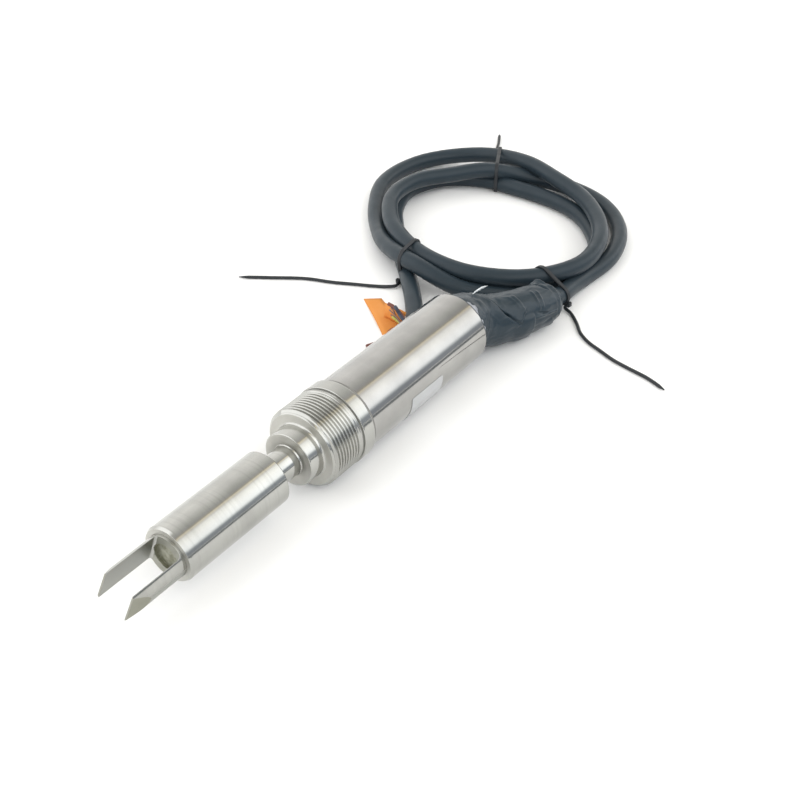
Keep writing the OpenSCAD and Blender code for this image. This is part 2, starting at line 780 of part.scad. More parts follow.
// Strap of a tie around the bundle and under it, drawn across the coil's section
module tie_strap(loose) {
    rotate([90, 0, 0]) translate([coil_r, (coil_h + tie_gap + tie_t) / 2, -tie_w / 2 - loose])
        linear_extrude(tie_w + 2 * loose) difference() {
            rounded_rectangle(coil_w + 2 * (tie_gap + tie_t + loose), coil_h + tie_gap + tie_t + 2 * loose,
                cable_r + tie_gap + tie_t);
            rounded_rectangle(coil_w + 2 * (tie_gap - loose), coil_h + tie_gap - tie_t - 2 * loose,
                cable_r + tie_gap);
        }
}

// Tie around the coil's bundle, with its head outside and its tail lying on the surface
module tie(i) {
    outside = coil_r + coil_w / 2 + tie_gap + tie_t;
    turned_to = [cos(tie_angles[i]), sin(tie_angles[i]), 0];
    mouth = [coil_centre[0], coil_centre[1], tie_head_z] + (outside + tie_head / 3) * turned_to;
    route = concat([mouth], tie_tails[i]);
    color(black) {
        translate([coil_centre[0], coil_centre[1], 0]) rotate([0, 0, tie_angles[i]]) {
            tie_strap(0);
            translate([outside - tie_t / 2, -tie_head / 2, tie_head_z - tie_head / 2])
                cube([tie_head * 0.7, tie_head, tie_head]);
        }
        swept(route, [for (p = route) tie_tail_r], 8);
    }
}

module tie_left() { tie(0); }
module tie_right() { tie(1); }
module tie_back() { tie(2); }

tuning_fork();
fork_body();
neck_tube();
process_fitting();
weld_bead();
housing_tube();
rear_cap();
cap_o_ring();
blank_label();
gland_body();
gland_seal();
gland_nut();
gland_lock_nut();
piezo_pickup();
piezo_drive();
stack_washers();
back_mass();
preload_bolt();
temperature_sensor();
signal_wires();
front_carrier();
rear_carrier();
circuit_board();
board_parts();
board_plug();
terminal_block();
supply_cores();
tape_wrap();
tape_end_band();
cable_lead();
cable_coil();
cable_end();
cable_cores();
cable_flag();
tie_left();
tie_right();
tie_back();
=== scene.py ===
import json
import math

import bmesh
import bpy
from mathutils import Matrix, Vector, noise


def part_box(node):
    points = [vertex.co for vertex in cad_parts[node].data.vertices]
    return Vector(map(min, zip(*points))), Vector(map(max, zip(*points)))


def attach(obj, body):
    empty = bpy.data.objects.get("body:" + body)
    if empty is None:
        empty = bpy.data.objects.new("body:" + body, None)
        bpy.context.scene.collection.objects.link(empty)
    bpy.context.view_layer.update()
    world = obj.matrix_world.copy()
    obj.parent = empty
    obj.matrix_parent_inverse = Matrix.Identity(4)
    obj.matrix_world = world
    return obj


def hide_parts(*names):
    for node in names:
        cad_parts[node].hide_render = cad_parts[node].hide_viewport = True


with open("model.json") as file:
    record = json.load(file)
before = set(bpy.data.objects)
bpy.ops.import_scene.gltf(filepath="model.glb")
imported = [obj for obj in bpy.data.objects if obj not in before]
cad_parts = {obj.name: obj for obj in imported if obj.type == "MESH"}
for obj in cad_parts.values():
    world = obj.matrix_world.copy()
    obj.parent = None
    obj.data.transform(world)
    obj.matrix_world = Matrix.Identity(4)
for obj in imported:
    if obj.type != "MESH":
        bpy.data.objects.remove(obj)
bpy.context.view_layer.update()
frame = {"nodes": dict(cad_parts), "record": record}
nodes = frame["nodes"]

# Driving sizes, in metres, as in the part's source
AXIS_Z = 0.0244
CABLE_D = 0.0116
COIL_CENTRE = Vector((-0.2814, -0.072, 0))
THREAD_PITCH = 0.002309
THREAD_DEPTH = 0.001479
THREAD_LEN = 0.0244
BOSS_LEN = 0.0106
TIE_WIDTH = 0.0027
TIE_THICKNESS = 0.0012
BARE_WIRE_D = 0.0010
PAPER_T = 0.0004

# A millimetre, and the directions up and along the instrument
MM = 0.001
UP = Vector((0, 0, 1))
FORWARD = Vector((1, 0, 0))

# The cable's points: loose ones by place in metres, coiled ones by radius and height in millimetres
LEAD_POINTS = [
    (-0.1541, 0, 0.0244), (-0.163, 0.0035, 0.0222), (-0.172, 0.009, 0.019), (-0.183, 0.015, 0.0165),
    (-0.197, 0.019, 0.0143), (-0.205, 0.0205, 0.013), (-0.213, 0.0213, 0.0114), (-0.225, 0.0215, 0.0095),
    (-0.2375, 0.0205, 0.008)]
END_POINTS = [
    (-0.186, -0.075, 0.0061), (-0.173, -0.063, 0.0061), (-0.160, -0.052, 0.0061), (-0.1415, -0.0382, 0.0061)]
TURN_START = 72
TURN_STEP = 24
TURN_RADII = [
    97, 94, 92.5, 90, 85, 74, 63, 61, 68.5, 72, 71.5, 74, 81, 90, 96,
    95, 84.5, 75, 70.5, 69.5, 81, 101, 111, 101, 86, 80, 84, 93, 98, 94,
    85, 82, 72, 65.5, 60, 60, 69, 77.5, 77.5, 70.5, 67, 74]
ON_FLOOR = 6.2
ON_TOP = 17.5
TURN_HEIGHTS = [
    6.5, ON_FLOOR, ON_FLOOR, ON_FLOOR, ON_FLOOR, 10, ON_TOP, ON_TOP, ON_TOP, ON_TOP,
    ON_TOP, ON_TOP, ON_TOP, ON_TOP, ON_TOP, ON_TOP, ON_TOP, ON_TOP, ON_TOP, 18.5,
    18, 12, ON_FLOOR, ON_FLOOR, ON_FLOOR, 6.5, 12, 17.2, 9] + [ON_FLOOR] * 13
ROUTE_STEPS = 6
CABLE_BEVEL_STEPS = 8


# Camera

LENS_MM = 58.248
SENSOR_MM = 36
NEAREST_SEEN = 0.01
CAMERA_PLACE = Vector((0.4242, 0.3604, 0.4551))
CAMERA_DIRECTION = Vector((-0.6525, -0.4730, -0.5921))


def new_object(name, data):
    made = bpy.data.objects.new(name, data)
    bpy.context.scene.collection.objects.link(made)
    return made


def aim(thing, place, direction):
    """Puts a camera or lamp at a place, to look along a direction."""
    thing.location = place
    thing.rotation_euler = direction.to_track_quat("-Z", "Y").to_euler()


def make_camera():
    data = bpy.data.cameras.new("camera")
    data.lens = LENS_MM
    data.sensor_width = SENSOR_MM
    data.clip_start = NEAREST_SEEN
    camera = new_object("camera", data)
    aim(camera, CAMERA_PLACE, CAMERA_DIRECTION)
    bpy.context.scene.camera = camera


make_camera()


# Paths and meshes


def clamped(value):
    return min(1, max(0, value))


def eased(share):
    """The share, from 0 to 1, with a soft start and end."""
    share = clamped(share)
    return share * share * (3 - 2 * share)


def curved(here, there, leaving, arriving, t):
    """A point on the way from here to there, on a curve with the given slopes at its ends."""
    span = (there - here).length
    return ((2 * t ** 3 - 3 * t ** 2 + 1) * here + (t ** 3 - 2 * t ** 2 + t) * span * leaving
            + (3 * t ** 2 - 2 * t ** 3) * there + (t ** 3 - t ** 2) * span * arriving)


def flowing(points, steps):
    """A smooth line through the points, with this many steps between each two."""
    points = [Vector(p) for p in points]
    padded = [2 * points[0] - points[1]] + points + [2 * points[-1] - points[-2]]
    slopes = []
    for before, here, after in zip(padded, padded[1:], padded[2:]):
        span_in = (here - before).length
        span_out = (after - here).length
        slope = (here - before) / span_in * span_out + (after - here) / span_out * span_in
        slopes.append(slope / (span_in + span_out))
    line = []
    for here, there, leaving, arriving in zip(points, points[1:], slopes, slopes[1:]):
        line += [curved(here, there, leaving, arriving, step / steps) for step in range(steps)]
    line.append(points[-1])
    return line


def path_frames(line):
    """At each point of a line: the point, a direction to its side, and one square to both."""
    frames = []
    side = UP
    for i, point in enumerate(line):
        along = (line[min(i + 1, len(line) - 1)] - line[max(i - 1, 0)]).normalized()
        side = (side - along * side.dot(along)).normalized()
        frames.append((point, side, along.cross(side)))
    return frames


def new_piece(name, vertices, faces, material, smooth=True):
    mesh = bpy.data.meshes.new(name)
    mesh.from_pydata([tuple(v) for v in vertices], [], faces)
    mesh.update()
    if smooth:
        mesh.shade_smooth()
    mesh.materials.append(material)
    return new_object(name, mesh)


def grid_faces(rows, columns, rings=True, closed=False):
    """Faces of a net of rows. Each row closes on itself if rings, and the last joins the first if closed."""
    faces = []
    for row in range(rows if closed else rows - 1):
        for column in range(columns if rings else columns - 1):
            after = (column + 1) % columns
            here = row * columns
            there = (row + 1) % rows * columns
            faces.append((here + column, here + after, there + after, there + column))
    return faces


def swept_tube(name, line, radius, sides, material):
    """A closed tube along a line. radius is a number, or a function of the line's share and the angle."""
    size = radius if callable(radius) else lambda share, angle: radius
    vertices = []
    for i, (point, side, up) in enumerate(path_frames(line)):
        share = i / (len(line) - 1)
        for j in range(sides):
            angle = math.tau * j / sides
            spoke = side * math.cos(angle) + up * math.sin(angle)
            vertices.append(point + spoke * size(share, angle))
    faces = grid_faces(len(line), sides)
    faces.append(tuple(reversed(range(sides))))
    faces.append(tuple(range(len(vertices) - sides, len(vertices))))
    return new_piece(name, vertices, faces, material)


def thin_sheet(name, rows, material, thickness):
    """A thin sheet through rows of points."""
    vertices = [point for row in rows for point in row]
    faces = grid_faces(len(rows), len(rows[0]), rings=False)
    sheet = new_piece(name, vertices, faces, material)
    solid = sheet.modifiers.new("thickness", "SOLIDIFY")
    solid.thickness = thickness
    return sheet


def finish_piece(piece):
    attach(piece, "root")
    return piece


# Material nodes

# Sockets of a mix node: its two numbers, its two colours, and the mixed number and colour
NUMBER_A, NUMBER_B = 2, 3
COLOR_A, COLOR_B = 6, 7
MIXED_NUMBER = 0
MIXED_COLOR = 2
EDGE_SAMPLES = 4
# Where a face counts as square to a direction: the cosine between them, from not at all to fully
SQUARE_ON = (0.96, 0.985)


def shader_of(material):
    return material.node_tree.nodes["Principled BSDF"]


def new_material(name, color, roughness, metallic=0.0):
    material = bpy.data.materials.new(name)
    material.use_nodes = True
    shader = shader_of(material)
    shader.inputs["Base Color"].default_value = (*color, 1)
    shader.inputs["Roughness"].default_value = roughness
    shader.inputs["Metallic"].default_value = metallic
    return material


def add(owner, kind, **inputs):
    """A new node in a material or world, with the values of its inputs."""
    node = owner.node_tree.nodes.new(kind)
    for key, value in inputs.items():
        node.inputs[key.replace("_", " ").title()].default_value = value
    return node


def feed(owner, source, target):
    """A node's input takes a socket's value, a number or a colour."""
    if isinstance(source, bpy.types.NodeSocket):
        owner.node_tree.links.new(source, target)
    elif isinstance(source, tuple):
        target.default_value = (*source, 1)
    else:
        target.default_value = source


def set_input(material, name, source):
    """One of the shader's inputs follows the source."""
    feed(material, source, shader_of(material).inputs[name])


def source_of(material, name):
    """The socket that one of the shader's inputs follows."""
    return shader_of(material).inputs[name].links[0].from_socket


def axes_of(owner, output="Object"):
    """The sockets X, Y and Z of a point in the object's frame, or of another kind of coordinates."""
    coordinates = add(owner, "ShaderNodeTexCoord")
    parts = add(owner, "ShaderNodeSeparateXYZ")
    feed(owner, coordinates.outputs[output], parts.inputs["Vector"])
    return parts.outputs


def noise_of(material, scale, detail=4, stretch=(1, 1, 1)):
    """Noise in the object's frame, with its scale, its detail and its stretch along each axis."""
    coordinates = add(material, "ShaderNodeTexCoord")
    mapping = add(material, "ShaderNodeMapping", scale=stretch)
    texture = add(material, "ShaderNodeTexNoise", scale=scale, detail=detail)
    feed(material, coordinates.outputs["Object"], mapping.inputs["Vector"])
    feed(material, mapping.outputs["Vector"], texture.inputs["Vector"])
    return texture.outputs["Fac"]


def ranged(owner, source, low, high, start=0.3, end=0.7):
    """The source from start to end, where most noise lies, turned into low to high."""
    node = add(owner, "ShaderNodeMapRange", from_min=start, from_max=end, to_min=low, to_max=high)
    feed(owner, source, node.inputs["Value"])
    return node.outputs["Result"]


def calculated(owner, operation, *sources):
    """The result of an operation on sockets or numbers."""
    node = add(owner, "ShaderNodeMath")
    node.operation = operation
    for source, target in zip(sources, node.inputs):
        feed(owner, source, target)
    return node.outputs["Value"]


def mixed(owner, share, first, second):
    """A colour between two, by the share."""
    node = add(owner, "ShaderNodeMix")
    node.data_type = "RGBA"
    feed(owner, share, node.inputs["Factor"])
    feed(owner, first, node.inputs[COLOR_A])
    feed(owner, second, node.inputs[COLOR_B])
    return node.outputs[MIXED_COLOR]


def blended(owner, share, first, second):
    """A number between two, by the share."""
    node = add(owner, "ShaderNodeMix")
    feed(owner, share, node.inputs["Factor"])
    feed(owner, first, node.inputs[NUMBER_A])
    feed(owner, second, node.inputs[NUMBER_B])
    return node.outputs[MIXED_NUMBER]


def facing(material, direction, limits=SQUARE_ON):
    """1 on faces that look along a direction or against it, and 0 on all others."""
    geometry = add(material, "ShaderNodeNewGeometry")
    product = add(material, "ShaderNodeVectorMath")
    product.operation = "DOT_PRODUCT"
    feed(material, geometry.outputs["True Normal"], product.inputs[0])
    feed(material, direction, product.inputs[1])
    return ranged(material, calculated(material, "ABSOLUTE", product.outputs["Value"]), 0, 1, *limits)


def recolored(material, share, color):
    """Another colour laid over the present one by the share."""
    set_input(material, "Base Color", mixed(material, share, source_of(material, "Base Color"), color))


def dulled(material, share, roughness):
    """At least this roughness where the share is 1."""
    least = calculated(material, "MULTIPLY", share, roughness)
    present = source_of(material, "Roughness")
    set_input(material, "Roughness", calculated(material, "MAXIMUM", present, least))


def bumped(material, source, depth, edge):
    """Bumps from the source, on edges that are rounded by the given radius."""
    bevel = add(material, "ShaderNodeBevel", radius=edge)
    bevel.samples = EDGE_SAMPLES
    bump = add(material, "ShaderNodeBump", strength=1.0, distance=depth)
    feed(material, source, bump.inputs["Height"])
    feed(material, bevel.outputs["Normal"], bump.inputs["Normal"])
    set_input(material, "Normal", bump.outputs["Normal"])


def toned(color, share):
    """A share of a colour's brightness."""
    return tuple(c * share for c in color)


def varied(material, source, value, shares):
    """A number that the source takes from the first share of a value to the second."""
    low, high = shares
    return ranged(material, source, value * low, value * high)


# Steels

# Noises by scale, detail and, on turned steel, stretch along each axis
STEEL_CLOUDS = (45, 6)
STEEL_GRAIN = (900, 3)
END_FACE_GRAIN = (220, 5)
LATHE_RINGS = (1, 4, (420, 14, 14))
LATHE_LINES = (1, 2, (4500, 25, 25))
BEVEL_GRAIN = (300, 4)
POCKET_STAINS = (380, 6)
# The share of a colour that is left where steel is worn, in the blotches on end faces and in the lathe's
# rings
WORN = 0.8
WORN_FACE = 0.85
RING_TONE = 0.62
# How far the rings cover the colour, and the values of their noise from none to full
RING_STRENGTH = 0.4
RING_LIMITS = (0.5, 0.72)
# The lowest and highest share of a roughness on steel, and on its end faces
STEEL_SPREAD = (0.8, 1.5)
END_FACE_SPREAD = (0.8, 1.2)
GRAIN_DEPTH = 0.00001
STEEL_EDGE = 0.0004
# The fork's milled faces: the direction across its gap, and its tines from root to tip
GAP_DIRECTION = Vector((0, 0.945, -0.327))
TINE_ROOT = 0.118
TINE_TIP = 0.154
# Painted light: the tines' inner faces are coloured lighter at the root, where the pocket shades them, than
# at the tips
PAINTED_INNER_FACE_TONES = (0.38, 0.385, 0.36), (0.33, 0.33, 0.305)
MILLED_ROUGH = 0.42
# Its bevels and slanted ends: where they begin to differ and fully do, and the slopes between which they lie
BEVEL_LIMITS = (0.122, 0.124)
BEVEL_SLOPES = (0.12, 0.2), (0.8, 0.9)
BEVEL_TONE = (0.29, 0.29, 0.235)
# Its round pocket: how soft its edges are at the rim and at the wall, and the values of its stains' noise
POCKET_RIM = 0.1195
POCKET_RIM_EDGE = 0.0003
POCKET_R = 0.0079
POCKET_WALL_EDGE = 0.0001
STAIN_LIMITS = (0.38, 0.62)
POCKET_TONES = (0.26, 0.26, 0.2), (0.42, 0.42, 0.35)
POCKET_ROUGH = 0.45


def clouded_steel(name, color, rough):
    """Stainless steel with faint clouds."""
    material = new_material(name, color, rough, metallic=1.0)
    clouds = noise_of(material, *STEEL_CLOUDS)
    worn = ranged(material, clouds, 0, 1)
    set_input(material, "Base Color", mixed(material, worn, color, toned(color, WORN)))
    set_input(material, "Roughness", varied(material, clouds, rough, STEEL_SPREAD))
    return material


def plain_steel(name, color, rough):
    """Clouded steel with a fine grain."""
    material = clouded_steel(name, color, rough)
    bumped(material, noise_of(material, *STEEL_GRAIN), GRAIN_DEPTH, STEEL_EDGE)
    return material


def dull_end_faces_with_painted_light(material, roughness, color):
    """Duller end faces, whose colour ahead of the origin is painted light and shade."""
    end_face = facing(material, FORWARD)
    dull = varied(material, noise_of(material, *END_FACE_GRAIN), roughness, END_FACE_SPREAD)
    set_input(material, "Roughness", blended(material, end_face, source_of(material, "Roughness"), dull))
    ahead = ranged(material, axes_of(material)["X"], 0, 1, 0, MM)
    # Painted light and shade: forward faces ahead of the origin take the given colour, lighter than the
    # steel on the fitting and darker on the fork
    painted_face_tone = mixed(material, noise_of(material, *STEEL_CLOUDS), color, toned(color, WORN_FACE))
    recolored(material, calculated(material, "MULTIPLY", end_face, ahead), painted_face_tone)


def lathe_marks(material, color, depth):
    """Darker rings and fine lines around the axis."""
    clouds = noise_of(material, *STEEL_CLOUDS)
    rings = ranged(material, noise_of(material, *LATHE_RINGS), 0, RING_STRENGTH, *RING_LIMITS)
    recolored(material, rings, mixed(material, clouds, toned(color, WORN), toned(color, RING_TONE)))
    bumped(material, noise_of(material, *LATHE_LINES), depth, STEEL_EDGE)


def turned_steel(name, color, rough, line_depth, face_rough, painted_face_color):
    """Clouded steel that is turned around the axis."""
    material = clouded_steel(name, color, rough)
    dull_end_faces_with_painted_light(material, face_rough, painted_face_color)
    lathe_marks(material, color, line_depth)
    return material


def mill_inner_faces_with_painted_light(material):
    """Dull faces between the tines; painted light makes them lighter at the root and darker towards the
    tips.
    """
    milled = facing(material, GAP_DIRECTION)
    towards_tip = ranged(material, axes_of(material)["X"], 0, 1, TINE_ROOT, TINE_TIP)
    # Painted light: lighter at the root, to make up for the pocket's shade, and darker towards the tips
    recolored(material, milled, mixed(material, towards_tip, *PAINTED_INNER_FACE_TONES))
    dulled(material, milled, MILLED_ROUGH)


def darken_bevels(material):
    """Darker bevels and slanted ends on the tines."""
    slopes = [facing(material, FORWARD, limits) for limits in BEVEL_SLOPES]
    on_tine = ranged(material, axes_of(material)["X"], 0, 1, *BEVEL_LIMITS)
    share = calculated(material, "MULTIPLY", calculated(material, "SUBTRACT", *slopes), on_tine)
    grain = noise_of(material, *BEVEL_GRAIN)
    recolored(material, share, mixed(material, grain, BEVEL_TONE, toned(BEVEL_TONE, WORN_FACE)))


def from_axis(material, parts):
    """The distance from the instrument's axis."""
    height = calculated(material, "SUBTRACT", parts["Z"], AXIS_Z)
    squares = [calculated(material, "MULTIPLY", side, side) for side in (parts["Y"], height)]
    return calculated(material, "SQRT", calculated(material, "ADD", *squares))


def stain_pocket(material):
    """Stains and a dull finish in the pocket between the tines' roots."""
    parts = axes_of(material)
    inside = ranged(material, from_axis(material, parts), 1, 0, POCKET_R, POCKET_R + POCKET_WALL_EDGE)
    deep = ranged(material, parts["X"], 1, 0, POCKET_RIM - POCKET_RIM_EDGE, POCKET_RIM)
    pocket = calculated(material, "MULTIPLY", inside, deep)
    stains = ranged(material, noise_of(material, *POCKET_STAINS), 0, 1, *STAIN_LIMITS)
    recolored(material, pocket, mixed(material, stains, *POCKET_TONES))
    dulled(material, pocket, POCKET_ROUGH)


def make_fork_steel():
    """Turned steel with the fork's milled faces, bevels and pocket."""
    # Painted shade: the fork's end faces take a darker colour than its steel
    material = turned_steel(
        "fork_steel", (0.44, 0.44, 0.415), 0.09,
        line_depth=0.000006, face_rough=0.5, painted_face_color=(0.38, 0.38, 0.335))
    mill_inner_faces_with_painted_light(material)
    darken_bevels(material)
    stain_pocket(material)
    return material


FORK_STEEL = make_fork_steel()
# Painted light: the fitting's end faces ahead of the origin take a lighter colour than its steel
TURNED_STEEL = turned_steel(
    "turned_steel", (0.49, 0.49, 0.465), 0.07,
    line_depth=0.000008, face_rough=0.45, painted_face_color=(0.57, 0.565, 0.53))
TUBE_STEEL = plain_steel("tube_steel", (0.43, 0.425, 0.41), 0.08)
WELD_STEEL = plain_steel("weld_steel", (0.3, 0.295, 0.28), 0.5)
SENSOR_STEEL = plain_steel("sensor_steel", (0.6, 0.6, 0.58), 0.25)


# Plastics, rubber, ceramic, a pale strip's finish and paper

PLASTIC_CLOUDS = (120, 4)
PLASTIC_GRAIN_DETAIL = 3
PLASTIC_SPREAD = (0.85, 1.15)
PLASTIC_EDGE = 0.0002


def polymer(name, color, rough, grain=800, depth=0.00003, spread=0.25, gloss=0.5):
    """A matt or satin surface with a fine grain and a slight drift of colour."""
    material = new_material(name, color, rough)
    set_input(material, "Specular IOR Level", gloss)
    clouds = noise_of(material, *PLASTIC_CLOUDS)
    set_input(material, "Base Color", mixed(material, clouds, color, toned(color, 1 - spread)))
    set_input(material, "Roughness", varied(material, clouds, rough, PLASTIC_SPREAD))
    bumped(material, noise_of(material, grain, PLASTIC_GRAIN_DETAIL), depth, PLASTIC_EDGE)
    return material


SEAL_RUBBER = polymer("seal_rubber", (0.03, 0.03, 0.03), 0.7)
LABEL_FILM = polymer("label_film", (0.44, 0.445, 0.45), 0.45, spread=0.08, depth=0.000005)
GLAND_PLASTIC = polymer("gland_plastic", (0.045, 0.045, 0.05), 0.5)
PIEZO_CERAMIC = polymer("piezo_ceramic", (0.72, 0.66, 0.52), 0.6, spread=0.1)
INSULATOR = polymer("insulator", (0.4, 0.3, 0.18), 0.6)
WIRE_SLEEVE = polymer("wire_sleeve", (0.55, 0.1, 0.06), 0.5)
BOARD_GREEN = polymer("board_green", (0.03, 0.22, 0.09), 0.35)
BOARD_BLACK = polymer("board_black", (0.035, 0.035, 0.035), 0.5)
PLUG_IVORY = polymer("plug_ivory", (0.78, 0.74, 0.6), 0.5, spread=0.08)
TERMINAL_GREEN = polymer("terminal_green", (0.08, 0.35, 0.15), 0.5)
CORE_BROWN = polymer("core_brown", (0.16, 0.045, 0.03), 0.4)
CORE_BLUE = polymer("core_blue", (0.018, 0.024, 0.05), 0.4)
CORE_YELLOW = polymer("core_yellow", (0.42, 0.4, 0.07), 0.4)
CORE_COPPER = polymer("core_copper", (0.22, 0.11, 0.08), 0.4)
CABLE_SHEATH = polymer(
    "cable_sheath", (0.021, 0.033, 0.043), 0.38, grain=500, depth=0.00004, spread=0.2, gloss=0.25)
BLACK_TAPE = polymer(
    "black_tape", (0.015, 0.029, 0.041), 0.33, grain=350, depth=0.00004, spread=0.3, gloss=0.36)
TIE_NYLON = polymer("tie_nylon", (0.008, 0.011, 0.015), 0.5)
# A pale finish for the strip along the tape; its material isn't known
PALE_STRIP_FINISH = polymer("pale_strip_finish", (0.75, 0.78, 0.8), 0.3, spread=0.1)
ADHESIVE = polymer("adhesive", (0.45, 0.47, 0.52), 0.5, grain=900, spread=0.6)
ORANGE_PAPER = polymer("orange_paper", (0.68, 0.26, 0.05), 0.75, grain=600, depth=0.00004, spread=0.08)

# The finish of each slot in the record
SLOT_MATERIALS = {
    "fork_steel": FORK_STEEL, "turned_steel": TURNED_STEEL, "tube_steel": TUBE_STEEL,
    "weld_steel": WELD_STEEL, "sensor_steel": SENSOR_STEEL, "seal_rubber": SEAL_RUBBER,
    "label_film": LABEL_FILM, "gland_plastic": GLAND_PLASTIC, "piezo_ceramic": PIEZO_CERAMIC,
    "insulator": INSULATOR, "wire_sleeve": WIRE_SLEEVE, "board_green": BOARD_GREEN,
    "board_black": BOARD_BLACK, "plug_ivory": PLUG_IVORY, "terminal_green": TERMINAL_GREEN,
    "core_tan": CORE_BROWN, "black_tape": BLACK_TAPE, "cable_sheath": CABLE_SHEATH,
    "orange_paper": ORANGE_PAPER, "tie_nylon": TIE_NYLON}


def dress_nodes():
    """Each CAD node takes the material of its slot in the record."""
    for part in frame["record"]["subparts"]:
        node = nodes[part["node"]]
        node.data.materials.clear()
        node.data.materials.append(SLOT_MATERIALS[part["material_slot"]])


dress_nodes()


# Cable


def coil_points():
    """The points of the coiled turns, at even angles around the coil's centre."""
    points = []
    for i, (radius, height) in enumerate(zip(TURN_RADII, TURN_HEIGHTS)):
        angle = math.radians(TURN_START + TURN_STEP * i)
        reach = Vector((math.cos(angle), math.sin(angle), 0)) * radius * MM
        points.append(COIL_CENTRE + reach + UP * (height * MM))
    return points


CABLE_LINE = flowing(LEAD_POINTS + coil_points() + END_POINTS, ROUTE_STEPS)


def make_cable():
    curve = bpy.data.curves.new("cable", "CURVE")
    curve.dimensions = "3D"
    curve.bevel_depth = CABLE_D / 2
    curve.bevel_resolution = CABLE_BEVEL_STEPS
    curve.use_fill_caps = True
    curve.materials.append(CABLE_SHEATH)
    spline = curve.splines.new("POLY")
    spline.points.add(len(CABLE_LINE) - 1)
    for spot, point in zip(spline.points, CABLE_LINE):
        spot.co = (*point, 1)
    spline.use_smooth = True
    cable = finish_piece(new_object("cable", curve))
    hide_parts("cable_lead", "cable_coil", "cable_end")
    return cable


cable = make_cable()


# Process fitting, with its thread

FITTING_LOW, FITTING_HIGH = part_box("process_fitting")
THREAD_FRONT = FITTING_HIGH.x - BOSS_LEN
THREAD_REAR = THREAD_FRONT - THREAD_LEN
THREAD_R = 0.0239
THREAD_CHAMFER = 0.0021
FULL_THREAD_START = 0.0023
# The meter rests on its collar
COLLAR_R = AXIS_Z
COLLAR_LEN = 0.0086
SPIGOT_R = 0.0207
BOSS_R = 0.016
BOSS_FILLET = 0.0014
FITTING_BORE_R = 0.0045
RELIEF_W = 0.0009
RELIEF_RUNOUT = 0.0007
RELIEF_DEPTH = 0.0017
RELIEF_REAR = THREAD_REAR - RELIEF_W
RELIEF_FRONT = THREAD_REAR + RELIEF_RUNOUT
SOFT_EDGE = 0.0004
# Shares of half a pitch that the thread's flat root and its flank take up
ROOT_SHARE = 0.12
FLANK_SHARE = 0.76
FITTING_SIDES = 160
THREAD_STEPS = 200
FILLET_STEPS = 5


def thread_radius(x, angle):
    """The thread's radius: a right-handed helix of rounded ridges that grows out of a smooth land."""
    phase = ((x - THREAD_REAR) / THREAD_PITCH - angle / math.tau) % 1
    ridge = 1 - abs(2 * phase - 1)
    start = clamped((x - THREAD_REAR - FULL_THREAD_START) / THREAD_PITCH + 0.5)
    cut = THREAD_DEPTH * (1 - eased((ridge - ROOT_SHARE) / FLANK_SHARE)) * start
    lead_in = x - (THREAD_FRONT - THREAD_CHAMFER)
    return THREAD_R - max(cut, lead_in)


def edge_rings(x, radius, rise):
    """Rings for an outer edge with a small bevel: rise is 1 where the part grows with x, else -1."""
    e = SOFT_EDGE
    if rise > 0:
        return [(x, radius - 2 * e), (x, radius - e), (x + e, radius), (x + 2 * e, radius)]
    return [(x - 2 * e, radius), (x - e, radius), (x, radius - e), (x, radius - 2 * e)]


def rear_profile():
    """Rings from the spigot over the collar and the relief groove to the thread."""
    collar_rear = RELIEF_REAR - COLLAR_LEN
    relief_r = THREAD_R - RELIEF_DEPTH
    rings = [(FITTING_LOW.x, FITTING_BORE_R), (FITTING_LOW.x, SPIGOT_R), (collar_rear, SPIGOT_R)]
    rings += edge_rings(collar_rear, COLLAR_R, 1) + edge_rings(RELIEF_REAR, COLLAR_R, -1)
    rings += [(RELIEF_REAR, relief_r), (RELIEF_FRONT, relief_r)]
    return rings + edge_rings(RELIEF_FRONT, THREAD_R, 1)


def front_profile():
    """Rings from the thread's front over the boss to the bore."""
    rings = [(THREAD_FRONT, THREAD_R - THREAD_CHAMFER - SOFT_EDGE)]
    for step in range(FILLET_STEPS + 1):
        turn = math.radians(90) * step / FILLET_STEPS
        rings.append((THREAD_FRONT + BOSS_FILLET * (1 - math.cos(turn)),
                      BOSS_R + BOSS_FILLET * (1 - math.sin(turn))))
    return rings + edge_rings(FITTING_HIGH.x, BOSS_R, -1) + [(FITTING_HIGH.x, FITTING_BORE_R)]


def make_fitting():
    angles = [math.tau * j / FITTING_SIDES for j in range(FITTING_SIDES)]
    rings = [(x, [radius] * FITTING_SIDES) for x, radius in rear_profile()]
    first = rings[-1][0]
    for step in range(1, THREAD_STEPS + 1):
        x = first + (THREAD_FRONT - first) * step / THREAD_STEPS
        rings.append((x, [thread_radius(x, angle) for angle in angles]))
    rings += [(x, [radius] * FITTING_SIDES) for x, radius in front_profile()]
    vertices = []
    for x, radii in rings:
        for radius, angle in zip(radii, angles):
            vertices.append((x, radius * math.cos(angle), AXIS_Z + radius * math.sin(angle)))
    faces = grid_faces(len(rings), FITTING_SIDES, closed=True)
    fitting = new_piece("process_fitting_turned", vertices, faces, TURNED_STEEL)
    finish_piece(fitting)
    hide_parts("process_fitting")


make_fitting()


# Tape over the gland

# The tape's middle line, and its radii in millimetres at even steps
TAPE_POINTS = [
    (-0.1301, 0, AXIS_Z), (-0.1331, 0, AXIS_Z), (-0.140, 0.0006, 0.0232), (-0.148, 0.0026, 0.021),
    (-0.157, 0.0065, 0.0182), (-0.169, 0.012, 0.0168), (-0.183, 0.017, 0.0158), (-0.197, 0.020, 0.0143),
    (-0.202, 0.0205, 0.0135), (-0.205, 0.0207, 0.013), (-0.2075, 0.0209, 0.0125), (-0.2085, 0.021, 0.0123)]
TAPE_RADII = [20.3, 19.8, 18.6, 17.3, 16.7, 16.0, 15.2, 14, 13.2, 12.2, 10.6, 5.9]

